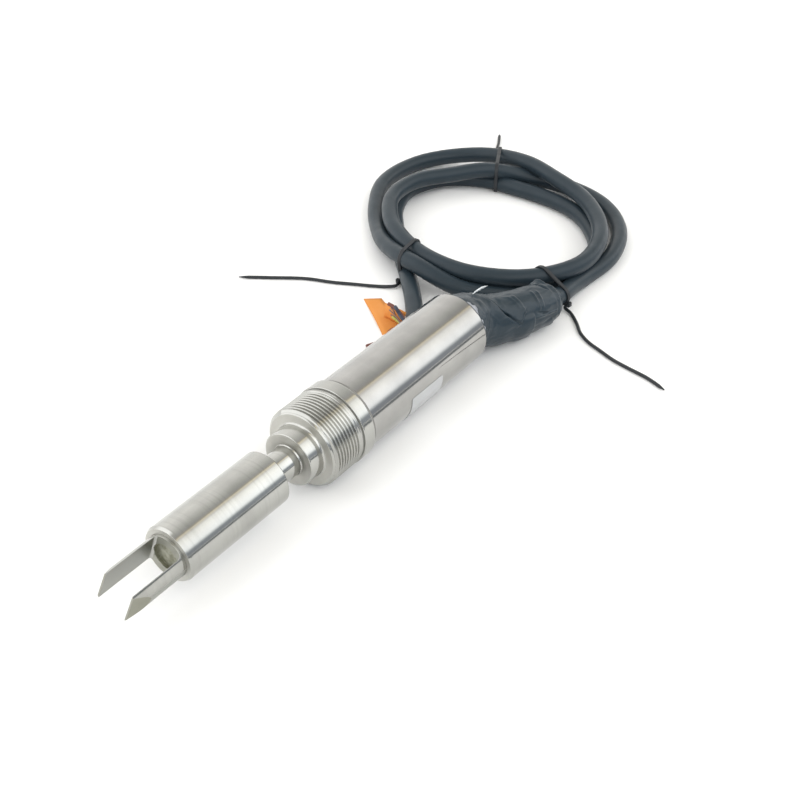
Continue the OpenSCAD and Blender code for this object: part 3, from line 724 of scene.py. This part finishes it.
# Folds of the tape: two ends, each a share of the wrap and an angle from its top towards +Y, then the height
# of the crest and its width on the tube's side and on the far side, all in millimetres
TAPE_FOLDS = [
    ((0.22, -6), (0.43, 76), 1.0, 6, 0.8), ((0.285, 18), (0.40, 58), -1.3, 0.9, 1.1),
    ((0.40, 58), (0.448, 82), -1.3, 0.8, 1.2), ((0.483, 58), (0.448, 84), 0.8, 3, 0.6),
    ((0.469, 16), (0.483, 58), 0.5, 3, 0.7), ((0.448, 20), (0.462, 46), 0.4, 0.8, 0.8),
    ((0.552, 20), (0.549, 60), 0.7, 0.7, 0.7), ((0.577, 22), (0.570, 56), 0.6, 0.7, 0.7),
    ((0.577, -24), (0.619, -12), -0.9, 1, 1), ((0.619, -12), (0.633, 18), -0.9, 1, 1),
    ((0.545, 82), (0.635, 85), 0.8, 2, 0.8), ((0.550, 74), (0.575, 80), -0.9, 1, 1),
    ((0.515, 78), (0.510, 150), 1.3, 9, 0.8), ((0.70, -50), (0.715, 20), 0.6, 5, 0.7),
    ((0.73, 20), (0.70, 100), 0.7, 5, 0.7), ((0.12, 150), (0.34, 260), 0.9, 7, 0.8),
    ((0.34, 170), (0.52, 290), 0.9, 7, 0.8), ((0.50, 200), (0.66, 320), 0.8, 6, 0.8),
    ((0.16, 60), (0.24, 140), 0.5, 6, 0.9), ((0.62, 110), (0.74, 220), 0.7, 6, 0.8)]
# Round bulges and a hollow: the place, the height and the reach
TAPE_BULGES = [((0.70, -24), 2.2, 8), ((0.50, 100), 0.6, 9), ((0.27, 105), -0.9, 16)]
# The tape laid out flat, in millimetres: its length, the radius of its middle, and how far folds run out
TAPE_LENGTH = 98
TAPE_MIDDLE_R = 15
FOLD_END = 3
# Lumps and creases of the tape: how close together they lie, and their height in millimetres
TAPE_LUMPS = [(1.5, 0.35), (4.0, 0.15)]
TAPE_CREASES = [(2.3, 0.45), (5.1, 0.25)]
CREASE_LEVEL = 0.3
# How much noise lies along the tape, how deep the wrap sinks, and how steeply all of it fades at the ends
NOISE_LENGTH = 4.5
TAPE_SINK = 0.3
END_FADE = 9
TAPE_STEPS = 26
TAPE_SIDES = 220


def between(values, share):
    """A value at a share of the way through a list, smoothly."""
    reach = share * (len(values) - 1)
    i = min(int(reach), len(values) - 2)
    t = eased(reach - i)
    return values[i] * (1 - t) + values[i + 1] * t


def unrolled(share, angle):
    """A place on the tape, laid out flat in millimetres."""
    return share * TAPE_LENGTH, math.radians(angle) * TAPE_MIDDLE_R


def turned_near(angle, other):
    """The same angle, by whole turns as near to the other as it goes."""
    return (angle - other + 180) % 360 - 180 + other


def fold_height(share, angle, fold):
    """Height of one fold at a place on the tape."""
    (share_a, angle_a), (share_b, angle_b), height, near, far = fold
    ax, ay = unrolled(share_a, angle_a)
    bx, by = unrolled(share_b, angle_b)
    px, py = unrolled(share, turned_near(angle, (angle_a + angle_b) / 2))
    length = math.hypot(bx - ax, by - ay)
    ux, uy = (bx - ax) / length, (by - ay) / length
    along = (px - ax) * ux + (py - ay) * uy
    off = (px - ax) * uy - (py - ay) * ux
    past_end = max(0, -along, along - length)
    return height * eased(1 - abs(off) / (near if off < 0 else far)) * eased(1 - past_end / FOLD_END)


def bulge_height(share, angle, bulge):
    """Height of one round bulge at a place on the tape."""
    (share_a, angle_a), height, reach = bulge
    ax, ay = unrolled(share_a, angle_a)
    px, py = unrolled(share, turned_near(angle, angle_a))
    return height * eased(1 - math.hypot(px - ax, py - ay) / reach)


def tape_surface(share, angle):
    """The wound tape's radius: its folds and bulges, slow lumps and small creases."""
    spot = Vector((math.cos(angle), math.sin(angle), share * NOISE_LENGTH))
    degrees = math.degrees(angle)
    rise = sum(fold_height(share, degrees, fold) for fold in TAPE_FOLDS)
    rise += sum(bulge_height(share, degrees, bulge) for bulge in TAPE_BULGES)
    rise += sum(height * noise.noise(spot * scale) for scale, height in TAPE_LUMPS)
    for scale, height in TAPE_CREASES:
        rise += height * (CREASE_LEVEL - abs(noise.noise(spot * scale)))
    fade = min(1, share * END_FADE, (1 - share) * END_FADE)
    return (between(TAPE_RADII, share) + (rise - TAPE_SINK) * fade) * MM


TAPE_LINE = flowing(TAPE_POINTS, TAPE_STEPS)


def make_tape():
    tape = swept_tube("wound_tape", TAPE_LINE, tape_surface, TAPE_SIDES, BLACK_TAPE)
    finish_piece(tape)
    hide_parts("tape_wrap", "tape_end_band")
    return tape


tape = make_tape()


# A pale strip and scraps of adhesive at the tape's edge

TUBE_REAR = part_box("housing_tube")[0].x
TUBE_R = 0.02275
SCRAP_T = 0.0002
# The pale strip's ends: share of the wrap, angle and height over the tape in millimetres, then its widths
PALE_STRIP_ENDS = [(0.185, 5, 1.0), (0.385, -24, 4.9)]
PALE_STRIP_WIDTHS = [0.4, 1.3, 1.7, 1.8, 1.2, 0.3]
# Outlines of the scraps: how far each juts out behind the tube in millimetres, and its angle
RIM_SCRAPS = [
    [(0.5, 20), (1.8, 24), (1.2, 28), (3.6, 32), (3.1, 38), (1.3, 41), (0.4, 45)],
    [(0.2, 55), (1.2, 57), (0.9, 59), (0.2, 61)], [(0.2, 66), (1.0, 69), (0.2, 72)]]
# How the scraps lie, in millimetres: how far over the tube and above it, how far below its surface behind
# it, and how much lower with each millimetre
SCRAP_OVERLAP = 0.5
SCRAP_STAND = 0.2
SCRAP_DROP = 0.3
SCRAP_SLOPE = 0.25


def on_tape(share, angle, lift):
    """A point at a height in millimetres above the tape."""
    point, side, up = path_frames(TAPE_LINE)[round(share * (len(TAPE_LINE) - 1))]
    turn = math.radians(angle)
    spoke = side * math.cos(turn) + up * math.sin(turn)
    return point + spoke * (tape_surface(share, turn) + lift * MM)


def on_rim(ahead, angle, lift):
    """A point near the housing tube's rear rim, by millimetres ahead of it and above the tube."""
    turn = math.radians(angle)
    radius = TUBE_R + lift * MM
    return Vector((TUBE_REAR + ahead * MM, radius * math.sin(turn), AXIS_Z + radius * math.cos(turn)))


def make_pale_strip():
    """A pale strip that stands up along the tape; what it is made of isn't known."""
    first, last = (on_tape(*end) for end in PALE_STRIP_ENDS)
    rows = []
    for k, width in enumerate(PALE_STRIP_WIDTHS):
        edge = first.lerp(last, k / (len(PALE_STRIP_WIDTHS) - 1))
        rows.append([edge, edge + UP * (width * MM)])
    return finish_piece(thin_sheet("pale_strip", rows, PALE_STRIP_FINISH, SCRAP_T))


def make_rim_scrap(number, outline):
    """A scrap that lies on the tube's rim and juts out behind it."""
    outer = [on_rim(-back, angle, -SCRAP_DROP - SCRAP_SLOPE * back) for back, angle in outline]
    inner = [on_rim(SCRAP_OVERLAP, angle, SCRAP_STAND) for back, angle in outline]
    scrap = thin_sheet(f"rim_scrap_{number}", [outer, inner], ADHESIVE, SCRAP_T)
    return finish_piece(scrap)


scraps = [make_pale_strip()] + [make_rim_scrap(k + 1, outline) for k, outline in enumerate(RIM_SCRAPS)]


# Cable ties

# The tails' radius, and the height of their middle where they lie on the surface
TAIL_R = 0.0011
TAIL_REST = 0.0013
# Each tie: a point inside the coil, the direction and the reach of its loop, its head's height, and its
# tail's points, which rest on the surface where they have no height
TIES = {
    "tie_left": ((-0.2125, -0.084), 4, 0.034, 0.0021, [
        (-0.1790, -0.0800, 0.0019), (-0.1755, -0.083, 0.0018), (-0.173, -0.088), (-0.1693, -0.0947),
        (-0.1649, -0.104), (-0.158, -0.118), (-0.152, -0.134), (-0.138, -0.156), (-0.126, -0.174)]),
    "tie_right": ((-0.2273, -0.0152), 82, 0.048, 0.0055, [
        (-0.2205, 0.0262, 0.0030), (-0.2188, 0.0312, 0.0015), (-0.2108, 0.0404), (-0.2014, 0.0489),
        (-0.1955, 0.0577), (-0.1913, 0.0685), (-0.187, 0.080), (-0.1845, 0.092), (-0.182, 0.106),
        (-0.177, 0.120)]),
    "tie_back": ((-0.3167, -0.0908), 208, 0.080, 0.0045, [
        (-0.3845, -0.1285, 0.0032), (-0.389, -0.1325, 0.0014), (-0.396, -0.138), (-0.408, -0.144),
        (-0.422, -0.152)])}
# The strap's section: shares of its width and of its thickness
STRAP_SECTION = [(-0.5, 0), (-0.5, 0.75), (-0.4, 1), (0.4, 1), (0.5, 0.75), (0.5, 0)]
STRAP_GAP = 0.0001
FLOOR_GAP = 0.0001
STRAND_SIDES = 40
HEAD_SIZE = Vector((0.0024, 0.0036, 0.0036))
HEAD_BEVEL = 0.0006
HEAD_GAP = 0.0002
# The tail's tip: the share of the length that narrows, and the share of the radius that is left
TIP_LENGTH = 0.03
TIP_SIZE = 0.3
TAIL_STEPS = 6
TAIL_SIDES = 10


def outward(azimuth):
    return Vector((math.cos(math.radians(azimuth)), math.sin(math.radians(azimuth)), 0))


def crossings(start, azimuth, reach):
    """Where the cable crosses a tie's upright plane: (distance from the start, height) of each strand."""
    out = outward(azimuth)
    across = UP.cross(out)
    start = Vector((*start, 0))
    found = []
    for a, b in zip(CABLE_LINE, CABLE_LINE[1:]):
        side_a = (a - start).dot(across)
        side_b = (b - start).dot(across)
        if side_a * side_b > 0 or side_a == side_b:
            continue
        point = a.lerp(b, side_a / (side_a - side_b))
        distance = (point - start).dot(out)
        if 0 < distance < reach:
            found.append((distance, point.z))
    return found


def hull(points):
    """The convex outline around points in a plane, anticlockwise."""
    points = sorted(set(points))

    def half(sequence):
        chain = []
        for p in sequence:
            while len(chain) > 1:
                (ax, ay), (bx, by) = chain[-2:]
                if (bx - ax) * (p[1] - ay) - (by - ay) * (p[0] - ax) > 0:
                    break
                chain.pop()
            chain.append(p)
        return chain[:-1]

    return half(points) + half(reversed(points))


def strap_outline(start, azimuth, reach):
    """A tie's inner outline around the strands that it holds, as (distance, height)."""
    room = CABLE_D / 2 + STRAP_GAP
    dots = []
    for distance, height in crossings(start, azimuth, reach):
        for j in range(STRAND_SIDES):
            angle = math.tau * j / STRAND_SIDES
            dots.append((distance + room * math.cos(angle), max(FLOOR_GAP, height + room * math.sin(angle))))
    return hull(dots)


def make_strap(name, start, azimuth, outline):
    """The band around the strands, with its outer edges bevelled."""
    out = outward(azimuth)
    across = UP.cross(out)
    vertices = []
    for i, (distance, height) in enumerate(outline):
        before = outline[i - 1]
        after = outline[(i + 1) % len(outline)]
        along = Vector((after[0] - before[0], after[1] - before[1])).normalized()
        for side, stand in STRAP_SECTION:
            reach = distance + along.y * stand * TIE_THICKNESS
            z = max(FLOOR_GAP, height - along.x * stand * TIE_THICKNESS)
            vertices.append(Vector((*start, z)) + out * reach + across * side * TIE_WIDTH)
    faces = grid_faces(len(outline), len(STRAP_SECTION), closed=True)
    return new_piece(name + "_strap", vertices, faces, TIE_NYLON, smooth=False)


def make_head(name, centre, azimuth):
    """The tie's head: a small block with soft edges, turned square to its strap."""
    mesh = bmesh.new()
    bmesh.ops.create_cube(mesh, size=1)
    bmesh.ops.scale(mesh, vec=HEAD_SIZE, verts=mesh.verts)
    bmesh.ops.bevel(mesh, geom=mesh.edges[:], offset=HEAD_BEVEL, segments=2, affect="EDGES")
    bmesh.ops.rotate(mesh, matrix=Matrix.Rotation(math.radians(azimuth), 3, "Z"), verts=mesh.verts)
    bmesh.ops.translate(mesh, vec=centre, verts=mesh.verts)
    data = bpy.data.meshes.new(name + "_head")
    mesh.to_mesh(data)
    mesh.free()
    data.materials.append(TIE_NYLON)
    return new_object(name + "_head", data)


def tail_radius(share, angle):
    """The tail's radius, which narrows at its tip."""
    return TAIL_R * (TIP_SIZE + (1 - TIP_SIZE) * clamped((1 - share) / TIP_LENGTH))


def make_tail(name, points):
    points = [point if len(point) == 3 else (*point, TAIL_REST) for point in points]
    return swept_tube(name + "_tail", flowing(points, TAIL_STEPS), tail_radius, TAIL_SIDES, TIE_NYLON)


def make_tie(name, start, azimuth, reach, head_z, tail):
    outline = strap_outline(start, azimuth, reach)
    edge = max(distance for distance, height in outline) + TIE_THICKNESS
    head_place = Vector((*start, head_z)) + outward(azimuth) * (edge + HEAD_GAP)
    strap = finish_piece(make_strap(name, start, azimuth, outline))
    head = finish_piece(make_head(name, head_place, azimuth))
    end = finish_piece(make_tail(name, [head_place] + tail))
    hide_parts(name)
    return [strap, head, end]


ties = [piece for name, facts in TIES.items() for piece in make_tie(name, *facts)]


# Cores at the cable's bare end

# Each core: its material, its place in the cable across and up, its thickness in millimetres, and its route
CORES = [
    ("core_brown", CORE_BROWN, (1.5, 1.5), 2.4, [
        (-0.1365, -0.0366, 0.0085), (-0.1358, -0.0410, 0.0095), (-0.1397, -0.0467, 0.0105),
        (-0.1408, -0.0503, 0.0120), (-0.1409, -0.0531, 0.0135), (-0.1411, -0.0560, 0.0142),
        (-0.1411, -0.0587, 0.0145)]),
    ("core_blue", CORE_BLUE, (-1.5, 1.5), 2.4, [
        (-0.1355, -0.0375, 0.0095), (-0.1352, -0.0425, 0.0115), (-0.1377, -0.0476, 0.0130),
        (-0.1380, -0.0494, 0.0150), (-0.1395, -0.0521, 0.0155)]),
    ("core_yellow", CORE_YELLOW, (1.5, -1.5), 1.8, [
        (-0.1368, -0.0368, 0.0060), (-0.1352, -0.0430, 0.0070), (-0.1369, -0.0479, 0.0075),
        (-0.1373, -0.0505, 0.0080), (-0.1383, -0.0532, 0.0080)]),
    ("core_rust", CORE_BROWN, (-1.5, -1.5), 2.4, [
        (-0.1362, -0.0385, 0.0045), (-0.1350, -0.0440, 0.0040), (-0.1330, -0.0485, 0.0034),
        (-0.1242, -0.0488, 0.0022), (-0.1142, -0.0501, 0.0017), (-0.1089, -0.0519, 0.0020)])]
BARE_WIRES = [
    ("bare_wire_1", [
        (-0.1372, -0.0372, 0.0080), (-0.1356, -0.0430, 0.0080), (-0.1370, -0.0487, 0.0100),
        (-0.1387, -0.0531, 0.0105), (-0.1414, -0.0578, 0.0100)]),
    ("bare_wire_2", [
        (-0.1368, -0.0376, 0.0065), (-0.1352, -0.0435, 0.0070), (-0.1369, -0.0478, 0.0085),
        (-0.1391, -0.0522, 0.0080), (-0.1409, -0.0563, 0.0070)]),
    ("bare_wire_3", [
        (-0.1366, -0.0370, 0.0075), (-0.1360, -0.0440, 0.0080), (-0.1386, -0.0515, 0.0100),
        (-0.1394, -0.0532, 0.0120), (-0.1413, -0.0566, 0.0120)])]
CORE_INSET = 0.002
WIRE_INSET = 0.001
CORE_STEPS = 8
CORE_SIDES = 14
WIRE_SIDES = 10


def make_cores():
    made = []
    end = CABLE_LINE[-1]
    heading = (end - CABLE_LINE[-2]).normalized()
    across = heading.cross(UP)
    inset = heading * CORE_INSET
    for name, material, (side, up), thick, route in CORES:
        seat = end + across * side * MM + UP * (up * MM)
        line = flowing([seat - inset, seat + inset] + route, CORE_STEPS)
        core = swept_tube(name, line, thick / 2 * MM, CORE_SIDES, material)
        made.append(finish_piece(core))
    for name, route in BARE_WIRES:
        line = flowing([end - heading * WIRE_INSET] + route, CORE_STEPS)
        wire = swept_tube(name, line, BARE_WIRE_D / 2, WIRE_SIDES, CORE_COPPER)
        made.append(finish_piece(wire))
    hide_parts("cable_cores")
    return made


cores = make_cores()


# Paper flag

# The flat strip's corners, around it from its far left corner as the camera sees it
FLAG_STRIP = [(-0.1548, -0.0893), (-0.1623, -0.0800), (-0.1395, -0.0420), (-0.1240, -0.0490)]
FLAG_LIFT = 0.0003
FLAG_WAVE = 0.0010
FLAG_ROWS = 16
FLAG_COLUMNS = 4
LEAF_TOP = [(-0.1455, -0.0642, 0.0110), (-0.1447, -0.0536, 0.0112), (-0.1438, -0.0465, 0.0112)]
LEAF_FOOT = [(-0.1440, -0.0640, 0.0012), (-0.1430, -0.0540, 0.0012), (-0.1420, -0.0465, 0.0012)]
LEAF_BOW = 0.0008
LEAF_STEPS = 5
LEAF_COLUMNS = 6


def paper(name, rows):
    return finish_piece(thin_sheet(name, rows, ORANGE_PAPER, PAPER_T / 2))


def make_flag_strip():
    """A strip that lies flat, with a low wave along it."""
    far_left, far_right, near_right, near_left = (Vector((x, y, 0)) for x, y in FLAG_STRIP)
    rows = []
    for i in range(FLAG_ROWS + 1):
        share = i / FLAG_ROWS
        left = far_left.lerp(near_left, share)
        right = far_right.lerp(near_right, share)
        lift = UP * (FLAG_LIFT + FLAG_WAVE * math.sin(math.pi * share) ** 2)
        rows.append([right.lerp(left, j / FLAG_COLUMNS) + lift for j in range(FLAG_COLUMNS + 1)])
    strip = paper("paper_flag", rows)
    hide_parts("cable_flag")
    return strip


def make_flag_leaf():
    """A leaf that stands up from the strip behind the cores."""
    bows = [FORWARD * (LEAF_BOW * math.sin(math.pi * j / LEAF_COLUMNS)) for j in range(LEAF_COLUMNS + 1)]
    rows = []
    for top, foot in zip(flowing(LEAF_TOP, LEAF_STEPS), flowing(LEAF_FOOT, LEAF_STEPS)):
        rows.append([foot.lerp(top, j / LEAF_COLUMNS) + bow for j, bow in enumerate(bows)])
    return paper("paper_flag_leaf", rows)


flag = [make_flag_strip(), make_flag_leaf()]


# Studio

# Brightness and tint around the instrument's axis, by degrees from the +Y horizon over the top to -Y
BRIGHTEST = 2.2
STUDIO_BANDS = [
    (0, (0.95, 0.95, 0.95)), (2, (0.52, 0.56, 0.6)), (7, (0.49, 0.52, 0.58)), (12.5, (0.52, 0.56, 0.61)),
    (16, (0.84, 0.9, 0.95)), (20, (1.5, 1.56, 1.6)), (24, (1.95, 2.0, 2.05)), (29, (2.1, 2.15, 2.18)),
    (38, (2.16, 2.18, 2.2)), (48, (2.12, 2.12, 2.1)), (57, (1.92, 1.92, 1.86)), (63, (1.72, 1.72, 1.68)),
    (68, (1.32, 1.28, 1.22)), (75.5, (1.36, 1.24, 0.95)), (77.5, (0.7, 0.66, 0.57)),
    (85, (0.68, 0.67, 0.66)), (90, (0.73, 0.73, 0.71)), (96, (0.82, 0.82, 0.78)),
    (108, (1.0, 1.0, 0.96)), (121, (1.2, 1.18, 1.15)), (135, (1.29, 1.28, 1.25)),
    (146, (1.4, 1.38, 1.34)), (180, (1.3, 1.3, 1.28))]
# A window at the fork's end, behind the instrument: its light, where it starts along X, and its lower angle
WINDOW_LIGHT = (2.0, 2.0, 2.0)
WINDOW_START = 0.0
WINDOW_FULL = 0.22
WINDOW_EDGE = 98
WINDOW_INSIDE = 112
# What is seen past the floor's edge
BACKDROP = (1.0, 1.0, 1.0)
FLOOR_HALF = 6
FLOOR_TONE = (0.88, 0.88, 0.88)
# A dark card on the floor, which shows only as the dark band low on the steel: its nearest and farthest edge
CARD_NEAR = 0.25
CARD_FAR = 4.0
CARD_HALF = 2.0
CARD_LIFT = 0.0005
CARD_TONE = (0.16, 0.175, 0.19)
STAGE_ROUGH = 0.9
# A broad, faint lamp above, which the steel doesn't mirror
LAMP_PLACE = Vector((0.1, 0.2, 1.6))
LAMP_TARGET = Vector((-0.1, 0, 0))
LAMP_SIZE = (2.4, 2.0)
LAMP_POWER = 3


def stage_plane(name, low, high, height, color):
    """A level sheet between two corners."""
    (x0, y0), (x1, y1) = low, high
    corners = [(x0, y0, height), (x1, y0, height), (x1, y1, height), (x0, y1, height)]
    plane = new_piece(name, corners, [(0, 1, 2, 3)], new_material(name, color, STAGE_ROUGH))
    return plane


def make_floor():
    stage_plane("floor", (-FLOOR_HALF, -FLOOR_HALF), (FLOOR_HALF, FLOOR_HALF), 0, FLOOR_TONE)


def make_card():
    card = stage_plane("dark_card", (-CARD_HALF, CARD_NEAR), (CARD_HALF, CARD_FAR), CARD_LIFT, CARD_TONE)
    card.visible_camera = False
    card.visible_diffuse = False
    card.visible_shadow = False


def make_lamp():
    data = bpy.data.lights.new("fill_top", "AREA")
    data.shape = "RECTANGLE"
    data.size, data.size_y = LAMP_SIZE
    data.energy = LAMP_POWER
    lamp = new_object("fill_top", data)
    lamp.visible_glossy = False
    aim(lamp, LAMP_PLACE, LAMP_TARGET - LAMP_PLACE)


def band_light(world, around):
    """The studio's bands, by the share of the half turn around the axis."""
    ramp = add(world, "ShaderNodeValToRGB")
    stops = ramp.color_ramp.elements
    ready = len(stops)
    for i, (degrees, color) in enumerate(STUDIO_BANDS):
        stop = stops[i] if i < ready else stops.new(degrees / 180)
        stop.position = degrees / 180
        stop.color = (*toned(color, 1 / BRIGHTEST), 1)
    feed(world, around, ramp.inputs["Fac"])
    return ramp.outputs["Color"]


def window_share(world, along, around):
    """1 where the window is, and 0 elsewhere, with soft edges."""
    past_start = ranged(world, along, 0, 1, WINDOW_START, WINDOW_FULL)
    past_start.node.interpolation_type = "SMOOTHSTEP"
    above_edge = ranged(world, around, 0, 1, WINDOW_EDGE / 180, WINDOW_INSIDE / 180)
    return calculated(world, "MULTIPLY", past_start, above_edge)


def make_world():
    """A studio of bands of light and shade along the instrument's axis, a window and a plain backdrop."""
    world = bpy.data.worlds.new("studio")
    world.use_nodes = True
    parts = axes_of(world, "Generated")
    angle = calculated(world, "ARCTAN2", parts["Z"], parts["Y"])
    around = ranged(world, angle, 0, 1, 0, math.pi)
    window = window_share(world, parts["X"], around)
    light = mixed(world, window, band_light(world, around), toned(WINDOW_LIGHT, 1 / BRIGHTEST))
    seen = add(world, "ShaderNodeLightPath").outputs["Is Camera Ray"]
    shown = mixed(world, seen, light, toned(BACKDROP, 1 / BRIGHTEST))
    background = world.node_tree.nodes["Background"]
    feed(world, shown, background.inputs["Color"])
    feed(world, BRIGHTEST, background.inputs["Strength"])
    bpy.context.scene.world = world
    bpy.context.scene.view_settings.view_transform = "Standard"


make_floor()
make_card()
make_lamp()
make_world()
